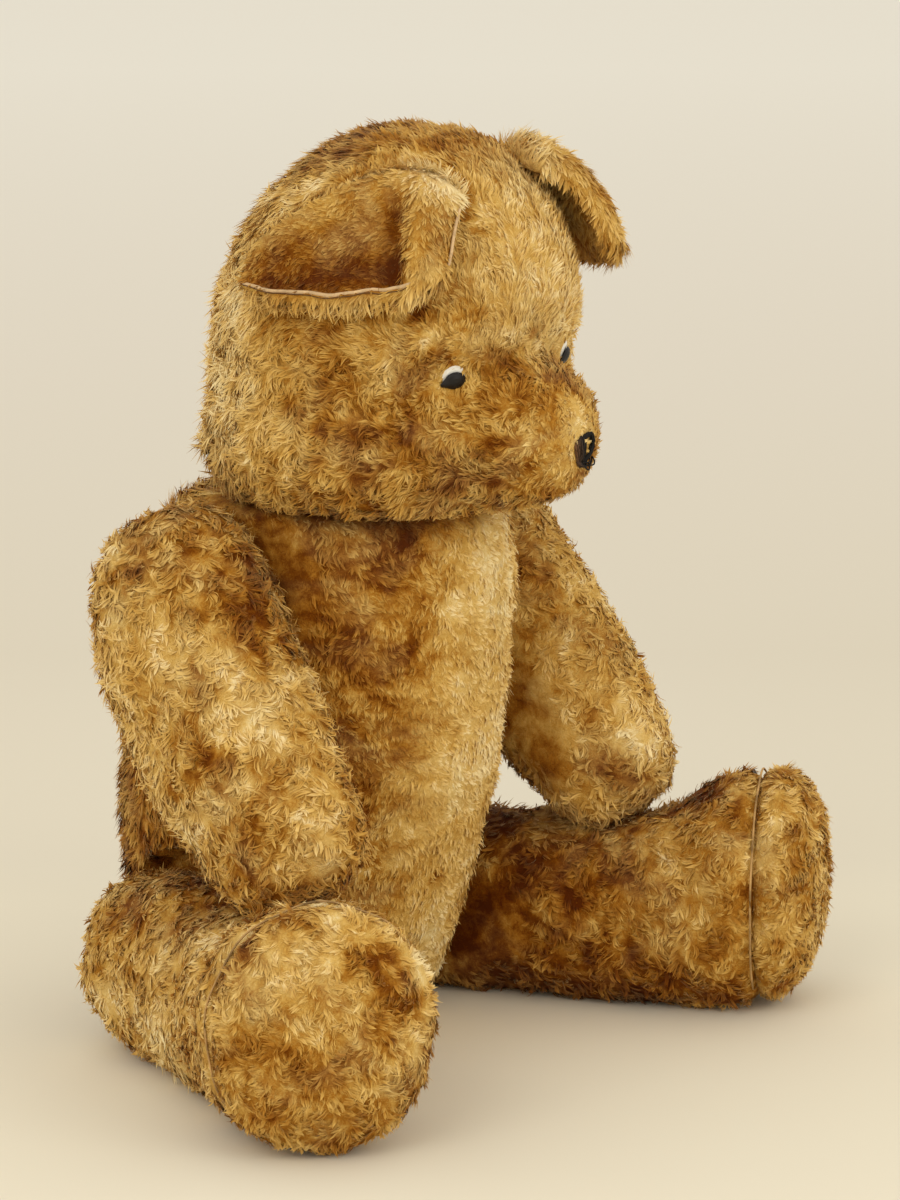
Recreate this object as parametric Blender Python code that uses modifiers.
"""A threadbare jointed teddy bear, sitting on the floor with its legs spread.

Metres, +Z up. The bear faces -Y and its own left side is +X. The origin is on the floor, in the seat's
flat. The head, arms and legs are stuffed plush pieces, and each turns on the body by a disc joint: a
cardboard disc and a steel washer inside either piece, held together by one split pin.
"""

import math

import bmesh
import bpy
from mathutils import Matrix, Vector

# Driving dimensions.
GAP = 0.0003  # clearance between two pieces that touch
CLOTH = 0.0025  # plush cloth between a joint's face and its disc
DISC = 0.0020  # cardboard thickness
WASHER = 0.0010  # steel washer thickness
WASHER_RADIUS = 0.0085
BORE_RADIUS = 0.0021  # the hole that the split pin runs through
WIRE_RADIUS = 0.0008  # half-round wire of the split pin
LEG_SPREAD = 0.00095  # from the split pin's axis to each of its legs
EYE_RADIUS = 0.0026  # the split pin's eye
SIDES = 16  # facets round a turned piece

NECK_HEIGHT = 0.248
NECK_Y = -0.044
SHOULDER = Vector((0.068, -0.006, 0.203))
SHOULDER_TILT = math.radians(7)  # the arms lean away from the body at the paws
ARM_FORWARD = math.radians(39)  # from hanging straight down
HIP = Vector((0.060, 0.004, 0.042))
HIP_TURN = math.radians(6)
HEAD_CENTRE = Vector((0, -0.052, 0.336))
DISC_RADIUS = {"neck": 0.028, "shoulder": 0.020, "hip": 0.023}

# Outlines, each a list of oval sections. The surface lies a little inside them once it is rounded.
# Body: height, middle in Y, half width, half depth, squareness.
BODY_SECTIONS = (
    (0.000, 0.010, 0.034, 0.026, 2.6),
    (0.000, 0.010, 0.056, 0.044, 2.6),
    (0.014, 0.010, 0.066, 0.052, 2.8),
    (0.040, 0.010, 0.069, 0.064, 2.8),
    (0.075, 0.009, 0.076, 0.080, 2.3),
    (0.115, 0.004, 0.083, 0.089, 2.0),
    (0.160, -0.002, 0.083, 0.090, 2.0),
    (0.200, -0.009, 0.080, 0.086, 2.0),
    (0.226, -0.015, 0.077, 0.081, 2.0),
    (0.241, -0.017, 0.071, 0.076, 2.0),
    (0.248, -0.022, 0.060, 0.065, 2.0),
    (0.248, -0.034, 0.034, 0.034, 2.0),
)
# Skull: height, middle in Y, half width, half depth.
SKULL_SECTIONS = (
    (0.2486, -0.042, 0.036, 0.036),
    (0.2486, -0.042, 0.060, 0.058),
    (0.255, -0.043, 0.073, 0.070),
    (0.272, -0.045, 0.084, 0.081),
    (0.289, -0.0475, 0.085, 0.0795),
    (0.304, -0.044, 0.080, 0.075),
    (0.318, -0.048, 0.083, 0.0785),
    (0.334, -0.051, 0.0835, 0.081),
    (0.360, -0.055, 0.077, 0.075),
    (0.388, -0.058, 0.060, 0.060),
    (0.406, -0.060, 0.039, 0.038),
    (0.414, -0.061, 0.017, 0.017),
)
# Muzzle: Y, middle height, half width, half height.
MUZZLE_SECTIONS = (
    (-0.080, 0.290, 0.046, 0.040),
    (-0.108, 0.289, 0.043, 0.038),
    (-0.130, 0.287, 0.036, 0.0325),
    (-0.145, 0.285, 0.026, 0.0245),
    (-0.155, 0.283, 0.013, 0.0135),
)
# Arm: distance along it from the shoulder pin, middle out from the joint's face, middle towards the elbow,
# half thickness, half width.
ARM_SECTIONS = (
    (-0.039, 0.026, -0.003, 0.018, 0.020),
    (-0.034, 0.026, -0.003, 0.028, 0.031),
    (-0.019, 0.026, -0.001, 0.036, 0.041),
    (0.006, 0.027, 0.003, 0.038, 0.047),
    (0.036, 0.028, 0.005, 0.037, 0.048),
    (0.066, 0.030, 0.004, 0.036, 0.046),
    (0.096, 0.032, 0.001, 0.034, 0.042),
    (0.120, 0.033, 0.000, 0.032, 0.039),
    (0.138, 0.033, 0.000, 0.027, 0.033),
    (0.147, 0.033, 0.000, 0.016, 0.020),
)
ARM_BEND = {"left": 0.2, "right": 1.0}  # the share of that bend towards the elbow which each arm has
# Leg: distance along it from the hip pin, half thickness, half height, middle height.
LEG_SECTIONS = (
    (-0.040, 0.016, 0.018, 0.040),
    (-0.035, 0.026, 0.030, 0.040),
    (-0.022, 0.034, 0.039, 0.040),
    (0.005, 0.038, 0.043, 0.040),
    (0.040, 0.040, 0.043, 0.040),
    (0.078, 0.041, 0.042, 0.040),
    (0.108, 0.043, 0.043, 0.041),
    (0.130, 0.048, 0.050, 0.047),
    (0.146, 0.051, 0.055, 0.053),
    (0.156, 0.050, 0.055, 0.054),
    (0.158, 0.047, 0.052, 0.054),
    (0.158, 0.030, 0.033, 0.054),
)
THIGH_OUT = 0.027  # the thigh's middle, out from the joint's face
LEG_HEADING = {  # outwards from -Y, at the hip and at the foot
    "left": (math.radians(14), math.radians(31)),
    "right": (math.radians(15), math.radians(37)),
}
LEG_STRETCH = {"left": 1.03, "right": 1.04}
LEG_SQUARENESS = 2.25  # flattened by lying on the floor
# Sole: distance past the foot's end, half width, half height.
SOLE_SECTIONS = (
    (0.0003, 0.030, 0.034),
    (0.0003, 0.045, 0.051),
    (0.006, 0.050, 0.056),
    (0.014, 0.047, 0.053),
    (0.023, 0.036, 0.042),
    (0.029, 0.018, 0.022),
)
SOLE_HEIGHT = 0.055
SOLE_RISE = {"left": 0.20, "right": 0.04}  # how much the dome's middle rises with that distance

# Ears, as drawn for the left one, from the front to the back: where each line down the flap starts on the
# seam and ends on the free rim, seen from the skull's middle, and how far it stands off the skull.
EAR_LINES = (
    ((0.028, -0.060, 0.058), (0.055, -0.072, 0.023), (0.001, 0.007, 0.009, 0.010, 0.010)),
    ((0.033, -0.044, 0.066), (0.067, -0.068, 0.017), (0.001, 0.009, 0.014, 0.015, 0.013)),
    ((0.042, -0.030, 0.065), (0.078, -0.056, 0.013), (0.001, 0.010, 0.008, 0.008, 0.013)),
    ((0.054, -0.012, 0.052), (0.085, -0.034, 0.011), (0.001, 0.009, 0.006, 0.006, 0.014)),
    ((0.064, 0.008, 0.037), (0.083, -0.004, 0.011), (0.001, 0.008, 0.006, 0.007, 0.012)),
    ((0.069, 0.026, 0.024), (0.077, 0.024, 0.014), (0.001, 0.004, 0.006, 0.007, 0.008)),
)
EAR_STEPS = (0.0, 0.15, 0.42, 0.72, 1.0)  # from the seam to the rim
EAR_STAND = {"right": 1.0, "left": 1.7}  # the left ear stands further off
EAR_RAISE = {"right": 0.0, "left": 0.010}  # and is sewn on higher
EAR_THICKNESS = 0.008

EYE_AIM = {  # from the skull's middle, with X towards the eye's own side
    "left": Vector((0.0366, -0.0620, -0.0203)),
    "right": Vector((0.0362, -0.0600, -0.0214)),
}
EYE_WHITE_RADIUS = 0.0064
EYE_BUTTON_RADIUS = 0.0049
EYE_BUTTON_FLAT = 0.87  # its height over its width
EYE_BUTTON_CORNER = 0.0022  # how far it is drawn out into a corner
EYE_CORNER_TURN = math.radians(198)  # which way that corner points, from the bear's left
EYE_CORNER_REACH = math.radians(17)
EYE_SUNK = 0.0012  # how deep the middle of the white disc lies in the head
EYE_WHITE_BACK = 0.0010
EYE_BUTTON_BACK = 0.0025
EYE_BUTTON_DROP = 0.0010  # the button sits low on its white disc
BUTTON_STEPS = 28
EYE_SHANK_RADIUS = 0.0007
EYE_SHANK_END = 0.0060
EYE_RECESS_TOP = 0.0100  # the cutters for the eyes end above the plush
# Turned profiles of the white disc and of the button: radius, height over the middle of the disc.
EYE_WHITE_PROFILE = (
    (0, 0.0022),
    (0.0040, 0.0019),
    (0.0056, 0.0013),
    (EYE_WHITE_RADIUS, 0.0004),
    (EYE_WHITE_RADIUS, -0.0004),
    (0.0056, -EYE_WHITE_BACK),
    (0, -EYE_WHITE_BACK),
)
EYE_BUTTON_PROFILE = (
    (0, 0.0047),
    (0.0022, 0.0044),
    (0.0040, 0.0036),
    (EYE_BUTTON_RADIUS, 0.0027),
    (0.0046, EYE_BUTTON_BACK),
    (EYE_SHANK_RADIUS, EYE_BUTTON_BACK),
    (EYE_SHANK_RADIUS, -EYE_SHANK_END),
    (0, -EYE_SHANK_END),
)
NOSE_AIM = Vector((0.0024, -0.104, -0.0550))  # from the skull's middle to the nose
NOSE_WIDTH = 0.0070
NOSE_HEIGHT = 0.0075
NOSE_BEND = 0.030  # radius of the muzzle's tip, which the loop of thread follows
NOSE_STITCHES = 18
NOSE_PROUD = 0.0006  # how far the middle of the thread stands out of the cloth
THREAD_RADIUS = 0.0014

PAST_ALL = 0.200  # a reach that is beyond the edges of any one piece
CUT_DEPTH = 0.05
HIP_FLAT_RADIUS = 0.046
HIP_FLAT_DEPTH = 0.06

COLOURS = {
    "plush": ((0.40, 0.22, 0.07), 0.9, 0.0),
    "worn_plush": ((0.24, 0.12, 0.04), 0.8, 0.0),
    "cardboard": ((0.35, 0.25, 0.15), 0.9, 0.0),
    "steel": ((0.45, 0.45, 0.45), 0.4, 1.0),
    "eye_white": ((0.75, 0.72, 0.64), 0.4, 0.0),
    "eye_black": ((0.01, 0.01, 0.01), 0.35, 0.0),
    "thread": ((0.02, 0.02, 0.02), 0.7, 0.0),
}


def clear_scene():
    for obj in list(bpy.data.objects):
        bpy.data.objects.remove(obj, do_unlink=True)


def new_collection(name):
    collection = bpy.data.collections.new(name)
    bpy.context.scene.collection.children.link(collection)
    return collection


def make_materials():
    made = {}
    for name, (colour, roughness, metallic) in COLOURS.items():
        material = bpy.data.materials.new(name)
        material.use_nodes = True
        shader = material.node_tree.nodes["Principled BSDF"]
        shader.inputs["Base Color"].default_value = (*colour, 1)
        shader.inputs["Roughness"].default_value = roughness
        shader.inputs["Metallic"].default_value = metallic
        made[name] = material
    return made


clear_scene()
BEAR = new_collection("teddy_bear")
CUTTERS = new_collection("cutters")
MATERIALS = make_materials()


# Making objects.


def add_object(name, data, material=None):
    """A node of the bear, or a cutter if it has no material."""
    obj = bpy.data.objects.new(name, data)
    if material is None:
        CUTTERS.objects.link(obj)
        obj.hide_render = True
        obj.display_type = "WIRE"
    else:
        BEAR.objects.link(obj)
        data.materials.append(MATERIALS[material])
    return obj


def mesh_object(name, bm, material=None):
    """An object from a closed bmesh, whose faces are turned outwards and shaded smooth."""
    bmesh.ops.recalc_face_normals(bm, faces=bm.faces)
    mesh = bpy.data.meshes.new(name)
    bm.to_mesh(mesh)
    bm.free()
    mesh.shade_smooth()
    return add_object(name, mesh, material)


def round_off(obj, levels=1):
    modifier = obj.modifiers.new("round", "SUBSURF")
    modifier.levels = levels
    modifier.render_levels = levels


def boolean(obj, cutter, operation="DIFFERENCE"):
    modifier = obj.modifiers.new(cutter.name, "BOOLEAN")
    modifier.operation = operation
    modifier.solver = "EXACT"
    modifier.object = cutter


def oval(centre, across, up, count, squareness=2.0):
    """Points round an oval, or round a squarer one if squareness is over 2."""
    points = []
    for step in range(count):
        turn = 2 * math.pi * step / count
        c = math.copysign(abs(math.cos(turn)) ** (2 / squareness), math.cos(turn))
        s = math.copysign(abs(math.sin(turn)) ** (2 / squareness), math.sin(turn))
        points.append(centre + across * c + up * s)
    return points


def soft_form(name, rings, material=None):
    """A closed cage through rings of points, rounded by subdivision."""
    bm = bmesh.new()
    loops = [[bm.verts.new(point) for point in ring] for ring in rings]
    for lower, upper in zip(loops, loops[1:]):
        for i in range(len(lower)):
            j = (i + 1) % len(lower)
            bm.faces.new((lower[i], lower[j], upper[j], upper[i]))
    bm.faces.new(loops[0])
    bm.faces.new(loops[-1])
    obj = mesh_object(name, bm, material)
    round_off(obj)
    return obj


def turned(name, profile, steps=SIDES, material=None):
    """A piece turned about its own Z axis from (radius, height) points, given down its outer side."""
    closed = all(radius > 0 for radius, _ in profile)
    edges = [(i, i + 1) for i in range(len(profile) - 1)]
    if closed:
        edges.append((len(profile) - 1, 0))
    mesh = bpy.data.meshes.new(name)
    mesh.from_pydata([(radius, 0, height) for radius, height in profile], edges, [])
    obj = add_object(name, mesh, material)
    screw = obj.modifiers.new("turn", "SCREW")
    screw.axis = "Z"
    screw.steps = steps
    screw.render_steps = steps
    screw.use_merge_vertices = True
    screw.merge_threshold = 0.00001
    screw.use_smooth_shade = False
    return obj


def ring_profile(inner, outer, low, high):
    return [(inner, high), (outer, high), (outer, low), (inner, low)]


def box_cutter(name, size, centre):
    """A cube cutter of this size about this centre."""
    bm = bmesh.new()
    bmesh.ops.create_cube(bm, size=1, matrix=Matrix.Translation(centre) @ Matrix.Diagonal((*size, 1)))
    return mesh_object(name, bm)


def mirrored(point, side):
    """The point as given for the left side, or its mirror image for the right side."""
    return Vector((point[0] * side, point[1], point[2]))


def mesh_from_curve(name, curve_object):
    """A cutter with the evaluated shape of a curve object, which is removed."""
    graph = bpy.context.evaluated_depsgraph_get()
    mesh = bpy.data.meshes.new_from_object(curve_object.evaluated_get(graph))
    place = curve_object.matrix_world.copy()
    bm = bmesh.new()
    bm.from_mesh(mesh)
    bmesh.ops.remove_doubles(bm, verts=bm.verts, dist=0.00001)
    bpy.data.objects.remove(curve_object)
    cutter = mesh_object(name, bm)
    cutter.matrix_world = place
    return cutter


def tube(name, points, radius, closed=False, resolution=1, material=None):
    """A round wire or thread through the points."""
    curve = bpy.data.curves.new(name, "CURVE")
    curve.dimensions = "3D"
    curve.bevel_depth = radius
    curve.bevel_resolution = resolution
    curve.use_fill_caps = True
    spline = curve.splines.new("POLY")
    spline.points.add(len(points) - 1)
    for place, point in zip(spline.points, points):
        place.co = (*point, 1)
    spline.use_cyclic_u = closed
    return add_object(name, curve, material)


# The disc joints.


def joint_frame(name, place, outward):
    """An empty on the joint's pin, with its Z axis along the pin, from the body outwards."""
    empty = bpy.data.objects.new(name, None)
    BEAR.objects.link(empty)
    empty.empty_display_size = 0.03
    turn = outward.to_track_quat("Z", "Y").to_matrix().to_4x4()
    empty.matrix_world = Matrix.Translation(place) @ turn
    return empty


def seat(obj, frame):
    """Puts an object made about the origin into a joint's frame."""
    obj.parent = frame
    obj.matrix_world = frame.matrix_world.copy()
    return obj


DISC_LOW = GAP + CLOTH + GAP
WASHER_LOW = DISC_LOW + DISC + GAP
PIN_LOW = WASHER_LOW + WASHER + GAP
EYE_HEIGHT = PIN_LOW + WIRE_RADIUS + 0.0019  # the middle of the split pin's eye
EYE_ROOM = EYE_HEIGHT + EYE_RADIUS + WIRE_RADIUS + GAP
TAIL_ROOM = PIN_LOW + 0.0046


def split_pin_path():
    """The bent wire: up one leg, round the eye, down the other leg, with both tails curled back."""
    tail = PIN_LOW + WIRE_RADIUS
    leg = [
        (0.0060, -tail - 0.0022),
        (0.0068, -tail - 0.0008),
        (0.0056, -tail),
        (0.0022, -tail),
        (LEG_SPREAD + 0.0002, -tail + 0.0007),
        (LEG_SPREAD, -tail + 0.0020),
        (LEG_SPREAD, PIN_LOW),
    ]
    eye = []
    opening = math.asin(LEG_SPREAD / EYE_RADIUS) + math.radians(28)
    steps = 8
    for step in range(steps + 1):
        turn = opening + (2 * math.pi - 2 * opening) * step / steps
        eye.append((EYE_RADIUS * math.sin(turn), EYE_HEIGHT - EYE_RADIUS * math.cos(turn)))
    path = leg + eye + [(-x, z) for x, z in reversed(leg)]
    return [(x, 0, z) for x, z in path]


def disc_joint(prefix, limb, radius, frame):
    """The discs, washers and split pin of one joint, and the cutter for the room that they need."""
    cavity_radius = radius + 0.0004
    cavity = turned(
        prefix + "_cavity",
        [
            (0, EYE_ROOM),
            (0.0042, EYE_ROOM),
            (0.0092, PIN_LOW),
            (cavity_radius, PIN_LOW),
            (cavity_radius, GAP + CLOTH),
            (BORE_RADIUS, GAP + CLOTH),
            (BORE_RADIUS, -GAP - CLOTH),
            (cavity_radius, -GAP - CLOTH),
            (cavity_radius, -PIN_LOW),
            (0.0092, -PIN_LOW),
            (0.0080, -TAIL_ROOM),
            (0, -TAIL_ROOM),
        ],
    )
    seat(cavity, frame)
    for piece, way in ((limb, 1), ("body", -1)):
        low, high = sorted((way * DISC_LOW, way * (DISC_LOW + DISC)))
        disc = turned(
            f"{prefix}_{piece}_disc",
            ring_profile(BORE_RADIUS, radius, low, high),
            material="cardboard",
        )
        low, high = sorted((way * WASHER_LOW, way * (WASHER_LOW + WASHER)))
        washer = turned(
            f"{prefix}_{piece}_washer",
            ring_profile(BORE_RADIUS, WASHER_RADIUS, low, high),
            steps=14,
            material="steel",
        )
        seat(disc, frame)
        seat(washer, frame)
    pin = tube(prefix + "_split_pin", split_pin_path(), WIRE_RADIUS, material="steel")
    seat(pin, frame)
    return cavity


def face_cutter(name, frame, radius, depth, way):
    """A short cylinder that leaves a flat face in the joint's plane, on the side that way points to."""
    bm = bmesh.new()
    middle = way * (GAP - depth / 2)
    bmesh.ops.create_cone(
        bm,
        cap_ends=True,
        segments=32,
        radius1=radius,
        radius2=radius,
        depth=depth,
        matrix=Matrix.Translation((0, 0, middle)),
    )
    return seat(mesh_object(name, bm), frame)


# The plush pieces.


def make_body():
    rings = []
    for height, middle, half_width, half_depth, squareness in BODY_SECTIONS:
        centre = Vector((0, middle, height))
        rings.append(oval(centre, Vector((half_width, 0, 0)), Vector((0, half_depth, 0)), 16, squareness))
    return soft_form("torso", rings, "plush")


def skull_rings():
    rings = []
    for height, middle, half_width, half_depth in SKULL_SECTIONS:
        centre = Vector((0, middle, height))
        rings.append(oval(centre, Vector((half_width, 0, 0)), Vector((0, half_depth, 0)), 16))
    return rings


def make_head():
    head = soft_form("head", skull_rings(), "plush")
    rings = []
    for y, height, half_width, half_height in MUZZLE_SECTIONS:
        centre = Vector((0, y, height))
        rings.append(oval(centre, Vector((half_width, 0, 0)), Vector((0, 0, half_height)), 12))
    boolean(head, soft_form("muzzle", rings), "UNION")
    return head


def skull_clearance():
    """The skull swollen by the clearance, which trims what is sewn on it."""
    skull = soft_form("skull_clearance", skull_rings())
    swell = skull.modifiers.new("swell", "DISPLACE")
    swell.mid_level = 0
    swell.strength = GAP
    return skull


def make_arm(side_name, side):
    outward = mirrored((math.cos(SHOULDER_TILT), 0, math.sin(SHOULDER_TILT)), side)
    inward_up = mirrored((-math.sin(SHOULDER_TILT), 0, math.cos(SHOULDER_TILT)), side)
    place = mirrored(SHOULDER, side)
    along = -inward_up * math.cos(ARM_FORWARD) + Vector((0, -math.sin(ARM_FORWARD), 0))
    across = outward.cross(along)
    rings = []
    for distance, middle, back, half_thickness, half_width in ARM_SECTIONS:
        bend = across * side * back * ARM_BEND[side_name]
        centre = place + along * distance + outward * middle + bend
        rings.append(oval(centre, outward * half_thickness, across * half_width, 12))
    return soft_form("arm_" + side_name, rings, "plush"), place, outward


def leg_path(distance, side_name, side):
    """The middle of the leg at this distance from the hip pin, in plan, and its heading there."""
    first, last = LEG_HEADING[side_name]
    point = HIP + Vector((math.cos(HIP_TURN), math.sin(HIP_TURN), 0)) * THIGH_OUT
    steps = 24
    foot_end = LEG_SECTIONS[-1][0]
    step_length = distance * LEG_STRETCH[side_name] / steps
    for step in range(steps + 1):
        share = max(distance * (step + 0.5) / steps / foot_end, 0)
        turn = first + (last - first) * min(share, 1)
        heading = Vector((math.sin(turn), -math.cos(turn), 0))
        if step < steps:
            point = point + heading * step_length
    return mirrored(point, side), mirrored(heading, side)


def leg_ring(distance, half_width, half_height, height, side_name, side, past=0.0):
    centre, heading = leg_path(distance, side_name, side)
    centre = Vector((centre.x, centre.y, height)) + heading * past
    up = Vector((0, 0, 1))
    return oval(centre, heading.cross(up) * half_width, up * half_height, 12, LEG_SQUARENESS)


def make_leg(side_name, side):
    rings = [
        leg_ring(distance, half_width, half_height, height, side_name, side)
        for distance, half_width, half_height, height in LEG_SECTIONS
    ]
    outward = mirrored((math.cos(HIP_TURN), math.sin(HIP_TURN), 0), side)
    return soft_form("leg_" + side_name, rings, "plush"), mirrored(HIP, side), outward


def make_sole(side_name, side):
    foot_end = LEG_SECTIONS[-1][0]
    rings = [
        leg_ring(
            foot_end,
            half_width,
            half_height,
            SOLE_HEIGHT + SOLE_RISE[side_name] * past,
            side_name,
            side,
            past,
        )
        for past, half_width, half_height in SOLE_SECTIONS
    ]
    return soft_form("sole_" + side_name, rings, "plush")


def make_ear(side_name, side, head, clearance):
    """A flap of two layers, sewn along the skull and folded down over it."""
    bm = bmesh.new()
    grid = []
    for seam, rim, lifts in EAR_LINES:
        line = []
        for share, lift in zip(EAR_STEPS, lifts):
            aim = mirrored(Vector(seam).lerp(Vector(rim), share), side)
            aim.z += EAR_RAISE[side_name] * (1 - share)
            place, _ = surface_point(head, HEAD_CENTRE, aim)
            line.append(bm.verts.new(place + aim.normalized() * lift * EAR_STAND[side_name]))
        grid.append(line)
    for near, far in zip(grid, grid[1:]):
        for i in range(len(near) - 1):
            bm.faces.new((near[i], near[i + 1], far[i + 1], far[i]))
    ear = mesh_object("ear_" + side_name, bm, "worn_plush")
    thicken = ear.modifiers.new("two_layers", "SOLIDIFY")
    thicken.thickness = EAR_THICKNESS
    thicken.offset = 0
    round_off(ear)
    boolean(ear, clearance)


def surface_point(obj, start, aim):
    """Where a line from start towards aim meets the object's surface from outside, and the way it faces."""
    graph = bpy.context.evaluated_depsgraph_get()
    away = start + aim.normalized() * PAST_ALL
    _, place, normal, _ = obj.evaluated_get(graph).ray_cast(away, -aim.normalized())
    return place, normal


# The face.


def eye_cutter(name, radius, depth, steps):
    """A plug from above the plush down to this depth, with the clearance round it."""
    low = -depth - GAP
    wide = radius + GAP
    return turned(name, ((0, EYE_RECESS_TOP), (wide, EYE_RECESS_TOP), (wide, low), (0, low)), steps=steps)


def button_reach(radius, turn):
    """How far the button reaches at this angle: a flat oval that is drawn out into one corner."""
    if radius <= EYE_SHANK_RADIUS:
        return radius
    flat = radius / math.hypot(math.cos(turn), math.sin(turn) / EYE_BUTTON_FLAT)
    off_corner = (turn - EYE_CORNER_TURN) / EYE_CORNER_REACH
    return flat + EYE_BUTTON_CORNER * (radius / EYE_BUTTON_RADIUS) ** 2 * math.exp(-off_corner * off_corner)


def eye_button(name):
    """The black button and its shank, about the Z axis."""
    bm = bmesh.new()
    loops = []
    for radius, height in EYE_BUTTON_PROFILE:
        loop = []
        for step in range(BUTTON_STEPS if radius else 1):
            turn = 2 * math.pi * step / BUTTON_STEPS
            reach = button_reach(radius, turn)
            loop.append(bm.verts.new((reach * math.cos(turn), reach * math.sin(turn), height)))
        loops.append(loop)
    for upper, lower in zip(loops, loops[1:]):
        for i in range(BUTTON_STEPS):
            j = i + 1
            corners = [upper[i % len(upper)], upper[j % len(upper)], lower[j % len(lower)], lower[i % len(lower)]]
            bm.faces.new(list(dict.fromkeys(corners)))
    return mesh_object(name, bm, "eye_black")


def make_eye(side_name, side, head):
    """A white disc let into the head, and a black button low on it, whose shank goes on into the head."""
    aim = mirrored(EYE_AIM[side_name], side)
    place, normal = surface_point(head, HEAD_CENTRE, aim)
    facing = (normal + aim.normalized()).normalized()
    frame = joint_frame("eye_" + side_name, place - facing * EYE_SUNK, facing)
    down = (Vector((0, 0, -1)) + facing * facing.z).normalized()
    low_frame = joint_frame("pupil_" + side_name, place - facing * EYE_SUNK + down * EYE_BUTTON_DROP, facing)
    white = turned("eye_white_" + side_name, EYE_WHITE_PROFILE, steps=20, material="eye_white")
    seat(white, frame)
    button = eye_button("eye_button_" + side_name)
    seat(button, low_frame)
    recess = eye_cutter("eye_recess_" + side_name, EYE_WHITE_RADIUS, EYE_WHITE_BACK, 20)
    seat(recess, frame)
    shank_hole = eye_cutter("shank_hole_" + side_name, EYE_SHANK_RADIUS, EYE_SHANK_END, SIDES)
    seat(shank_hole, low_frame)
    boolean(white, shank_hole)
    boolean(head, recess)
    boolean(head, shank_hole)


def make_nose(head):
    """The thread that is left of the nose: a loop of satin stitches, half sunk in a groove."""
    place, normal = surface_point(head, HEAD_CENTRE, NOSE_AIM)
    frame = joint_frame("nose", place, normal)
    points = []
    for step in range(NOSE_STITCHES):
        turn = 2 * math.pi * step / NOSE_STITCHES
        x = NOSE_WIDTH * math.cos(turn)
        y = NOSE_HEIGHT * math.sin(turn)
        sag = (x * x + y * y) / (2 * NOSE_BEND)
        points.append((x, y, NOSE_PROUD - sag))
    nose = seat(tube("nose_stitching", points, THREAD_RADIUS, closed=True, material="thread"), frame)
    groove = seat(tube("groove_curve", points, THREAD_RADIUS + 2 * GAP, closed=True), frame)
    bpy.context.view_layer.update()
    boolean(head, mesh_from_curve("nose_groove", groove))
    return nose


def main():
    body = make_body()
    head = make_head()
    floor = box_cutter("floor", (1, 1, 0.2), Vector((0, -0.1, -0.1)))

    neck = joint_frame("neck", Vector((0, NECK_Y, NECK_HEIGHT + GAP)), Vector((0, 0, 1)))
    neck_cavity = disc_joint("neck", "head", DISC_RADIUS["neck"], neck)
    boolean(body, neck_cavity)
    boolean(head, neck_cavity)

    clearance = skull_clearance()
    for side_name, side in (("left", 1), ("right", -1)):
        arm, place, outward = make_arm(side_name, side)
        shoulder = joint_frame("shoulder_" + side_name, place, outward)
        cavity = disc_joint("shoulder_" + side_name, "arm", DISC_RADIUS["shoulder"], shoulder)
        boolean(body, face_cutter("shoulder_face_" + side_name, shoulder, PAST_ALL, CUT_DEPTH, -1))
        boolean(arm, face_cutter("arm_face_" + side_name, shoulder, PAST_ALL, CUT_DEPTH, 1))
        boolean(body, cavity)
        boolean(arm, cavity)

        leg, place, outward = make_leg(side_name, side)
        hip = joint_frame("hip_" + side_name, place, outward)
        cavity = disc_joint("hip_" + side_name, "leg", DISC_RADIUS["hip"], hip)
        boolean(body, face_cutter("hip_face_" + side_name, hip, HIP_FLAT_RADIUS, HIP_FLAT_DEPTH, -1))
        boolean(leg, face_cutter("leg_face_" + side_name, hip, PAST_ALL, CUT_DEPTH, 1))
        boolean(leg, floor)
        boolean(body, cavity)
        boolean(leg, cavity)
        make_sole(side_name, side)
        make_ear(side_name, side, head, clearance)
        make_eye(side_name, side, head)
    make_nose(head)


main()
